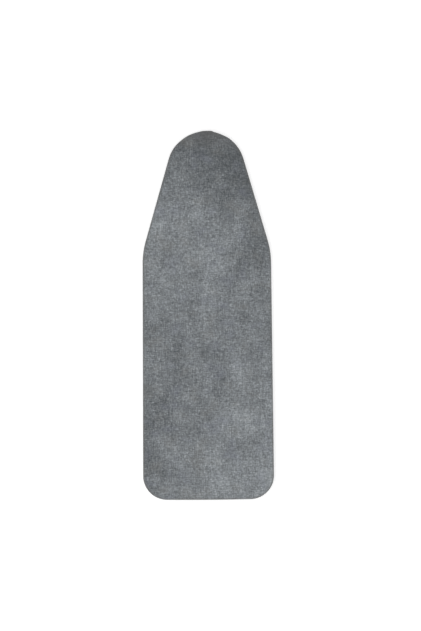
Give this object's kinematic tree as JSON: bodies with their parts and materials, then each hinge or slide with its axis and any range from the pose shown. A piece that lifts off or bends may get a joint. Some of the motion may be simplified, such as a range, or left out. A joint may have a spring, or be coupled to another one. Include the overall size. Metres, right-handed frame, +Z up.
{
  "type": "ironing board cover",
  "caption": "Padded fitted cover with a round nose and a square tail, a gathered elastic hem under a board and cross straps that close with hook and loop.",
  "frame": {"origin": "below the middle of the cover's outline, on the plane that its lowest hem gathers rest on", "axes": "+Y towards the round nose, +Z up out of the ironing face, +X to the right seen from above"},
  "size_m": [0.4432, 1.25, 0.042],
  "materials": {
    "marled_cotton": "woven, marled grey",
    "pad_foam": "open-cell foam",
    "pad_felt": "needled felt",
    "binding_tape": "plain-woven bias tape",
    "hem_elastic": "braided elastic",
    "strap_webbing": "woven elastic webbing",
    "hook_tape": "nylon hooks",
    "loop_tape": "brushed nylon loops"
  },
  "bodies": {
    "cover": {"cotton_cover": "marled_cotton", "foam_pad": "pad_foam", "felt_pad": "pad_felt", "hem_binding": "binding_tape", "hem_elastic": "hem_elastic", "front_strap_anchor": "strap_webbing", "front_loop_patch": "loop_tape", "middle_strap_anchor": "strap_webbing", "middle_loop_patch": "loop_tape", "rear_strap_anchor": "strap_webbing", "rear_loop_patch": "loop_tape"},
    "front_strap_body": {"front_strap": "strap_webbing", "front_hook_patch": "hook_tape"},
    "middle_strap_body": {"middle_strap": "strap_webbing", "middle_hook_patch": "hook_tape"},
    "rear_strap_body": {"rear_strap": "strap_webbing", "rear_hook_patch": "hook_tape"}
  },
  "joints": [
    {"name": "front_strap_peel", "type": "hinge", "parent": "cover", "child": "front_strap_body", "pos_m": [-0.17655, 0.15, 0.0036], "axis": [0, 1, 0], "range_deg": [0, 180]},
    {"name": "middle_strap_peel", "type": "hinge", "parent": "cover", "child": "middle_strap_body", "pos_m": [-0.17809, -0.1375, 0.0036], "axis": [0, 1, 0], "range_deg": [0, 180]},
    {"name": "rear_strap_peel", "type": "hinge", "parent": "cover", "child": "rear_strap_body", "pos_m": [-0.17964, -0.425, 0.0036], "axis": [0, 1, 0], "range_deg": [0, 180]}
  ]
}
